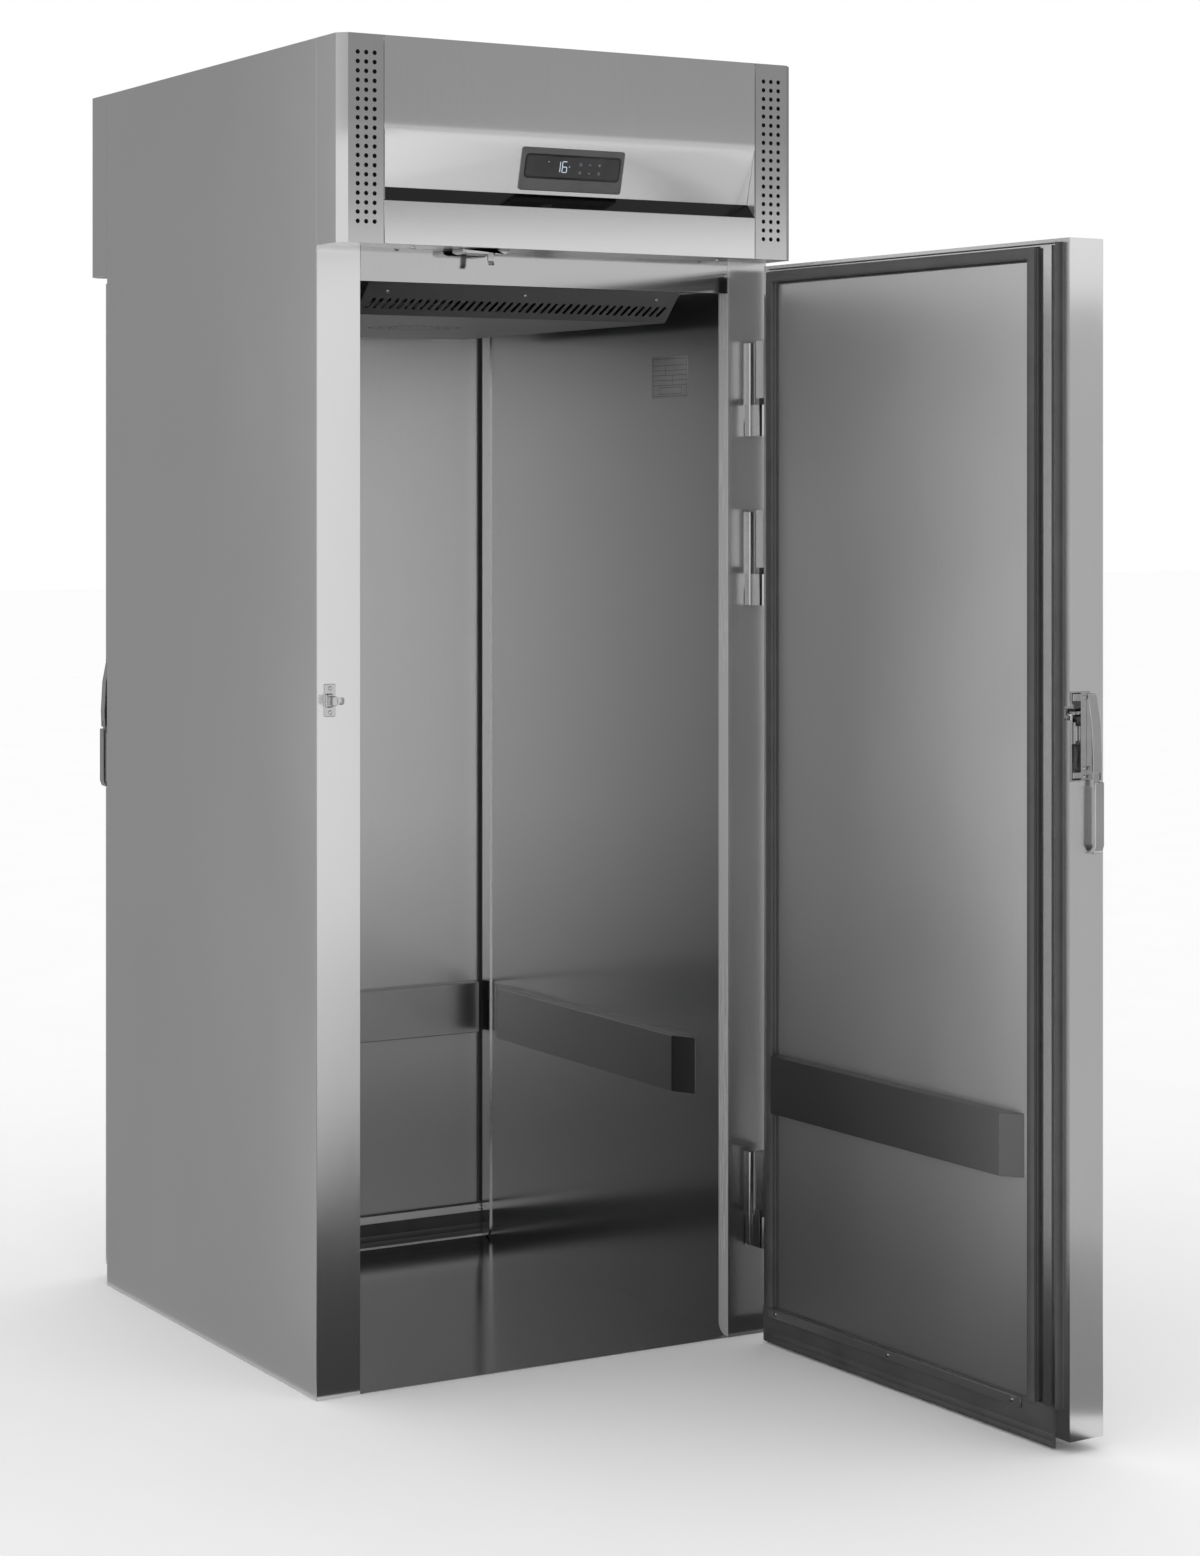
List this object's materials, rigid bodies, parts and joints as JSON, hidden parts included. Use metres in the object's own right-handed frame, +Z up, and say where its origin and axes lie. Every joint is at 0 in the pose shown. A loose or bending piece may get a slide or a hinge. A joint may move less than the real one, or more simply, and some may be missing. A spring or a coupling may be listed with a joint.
{
  "type": "pass-through refrigerator",
  "caption": "Tall roll-in refrigerator, open from front to rear, with a hinged door at each side and the cooling unit in the header.",
  "frame": {"origin": "centre of the cabinet's footprint, on the floor", "axes": "X across the cabinet with the hinges at +X, -Y to the front, +Z up"},
  "size_m": [0.945, 1.8799, 2.235],
  "materials": {
    "satin_steel": "satin",
    "bright_steel": "polished",
    "cast_metal": "satin chrome",
    "zinc_steel": "zinc plated",
    "grey_steel": "satin grey",
    "black_enamel": "gloss black",
    "foam": "rigid foam",
    "seal_rubber": "matte grey rubber",
    "black_nylon": "nylon",
    "black_plastic": "satin moulded",
    "display_window": "gloss tinted",
    "pale_plastic": "moulded",
    "copper": "drawn copper",
    "coil_aluminium": "mill finish",
    "blank_label": "blank plate"
  },
  "bodies": {
    "cabinet": {"left_side_panel": "satin_steel", "right_side_panel": "satin_steel", "cabinet_insulation": "foam", "wall_liners": "satin_steel", "ceiling_liner": "satin_steel", "floor_plate": "bright_steel", "front_frame": "bright_steel", "rear_frame": "bright_steel", "wall_rails": "satin_steel", "data_plate": "blank_label", "evaporator_duct_cover": "grey_steel", "machine_deck": "satin_steel", "front_header_fascia": "satin_steel", "rear_header_fascia": "satin_steel", "header_vent_strips": "satin_steel", "header_underplates": "bright_steel", "controller_bezel": "black_plastic", "controller": "display_window", "latch_strikes": "cast_metal", "cabinet_screws": "zinc_steel", "hinge_frame_halves": "cast_metal", "hinge_pins": "zinc_steel", "hinge_bushes": "black_nylon", "compressor": "black_enamel", "condenser_coil": "coil_aluminium", "condenser_fan_shroud": "black_enamel", "evaporator_coil": "coil_aluminium", "evaporator_fan_motor": "grey_steel", "drain_tray": "pale_plastic", "control_box": "pale_plastic", "refrigerant_pipes": "copper", "door_switches": "zinc_steel"},
    "front_door": {"front_door_shell": "bright_steel", "front_door_insulation": "foam", "front_door_inner_panel": "bright_steel", "front_door_seals": "seal_rubber", "front_door_rails": "satin_steel", "front_door_sweep": "seal_rubber", "front_door_hinge_halves": "cast_metal", "front_door_screws": "zinc_steel", "front_lock_case": "cast_metal", "front_handle_body": "cast_metal"},
    "front_handle": {"front_handle_grip": "cast_metal"},
    "front_latch": {"front_latch_bolt": "cast_metal"},
    "rear_door": {"rear_door_shell": "bright_steel", "rear_door_insulation": "foam", "rear_door_inner_panel": "bright_steel", "rear_door_seals": "seal_rubber", "rear_door_rails": "satin_steel", "rear_door_sweep": "seal_rubber", "rear_door_hinge_halves": "cast_metal", "rear_door_screws": "zinc_steel", "rear_lock_case": "cast_metal", "rear_handle_body": "cast_metal"},
    "rear_handle": {"rear_handle_grip": "cast_metal"},
    "rear_latch": {"rear_latch_bolt": "cast_metal"},
    "condenser_fan": {"condenser_fan_blade": "black_plastic"},
    "evaporator_fan": {"evaporator_fan_blade": "black_plastic"},
    "front_switch_lever": {"front_switch_lever": "zinc_steel"},
    "rear_switch_lever": {"rear_switch_lever": "zinc_steel"}
  },
  "joints": [
    {"name": "front_door_swing", "type": "hinge", "parent": "cabinet", "child": "front_door", "pos_m": [0.42, -0.49, 1], "axis": [0, 0, 1], "range_deg": [-92.5, 27.5]},
    {"name": "rear_door_swing", "type": "hinge", "parent": "cabinet", "child": "rear_door", "pos_m": [0.42, 0.49, 1], "axis": [0, 0, 1], "range_deg": [-120, 0]},
    {"name": "front_handle_pull", "type": "hinge", "parent": "front_door", "child": "front_handle", "pos_m": [0.47763, -1.32848, 1.056], "axis": [-0.999, -0.0436, 0], "range_deg": [0, 12], "stiffness_Nm_per_rad": 2},
    {"name": "rear_handle_pull", "type": "hinge", "parent": "rear_door", "child": "rear_handle", "pos_m": [-0.4202, 0.511, 1.056], "axis": [0, 1, 0], "range_deg": [0, 12], "stiffness_Nm_per_rad": 2},
    {"name": "front_latch_slide", "type": "slide", "parent": "front_door", "child": "front_latch", "axis": [0, 0, -1], "range_m": [0, 0.0106], "stiffness_N_per_m": 200},
    {"name": "rear_latch_slide", "type": "slide", "parent": "rear_door", "child": "rear_latch", "axis": [0, 0, -1], "range_m": [0, 0.0106], "stiffness_N_per_m": 200},
    {"name": "condenser_fan_spin", "type": "hinge", "parent": "cabinet", "child": "condenser_fan", "pos_m": [0.19, -0.336, 2.016], "axis": [0, 1, 0], "continuous": true},
    {"name": "evaporator_fan_spin", "type": "hinge", "parent": "cabinet", "child": "evaporator_fan", "pos_m": [-0.027, 0, 1.863], "axis": [0, 0, 1], "continuous": true},
    {"name": "front_switch_tilt", "type": "hinge", "parent": "cabinet", "child": "front_switch_lever", "pos_m": [-0.1425, -0.505, 1.8914], "axis": [1, 0, 0], "range_deg": [-26, 86.1]},
    {"name": "rear_switch_tilt", "type": "hinge", "parent": "cabinet", "child": "rear_switch_lever", "pos_m": [-0.1425, 0.505, 1.8914], "axis": [1, 0, 0], "range_deg": [0, 112]}
  ],
  "couplings": [
    {"joint": "front_latch_slide", "follows": "front_handle_pull", "m_per_rad": 0.0501},
    {"joint": "rear_latch_slide", "follows": "rear_handle_pull", "m_per_rad": 0.0501},
    {"joint": "front_switch_tilt", "follows": "front_door_swing", "ratio": -0.92973},
    {"joint": "rear_switch_tilt", "follows": "rear_door_swing", "ratio": -0.92973}
  ]
}
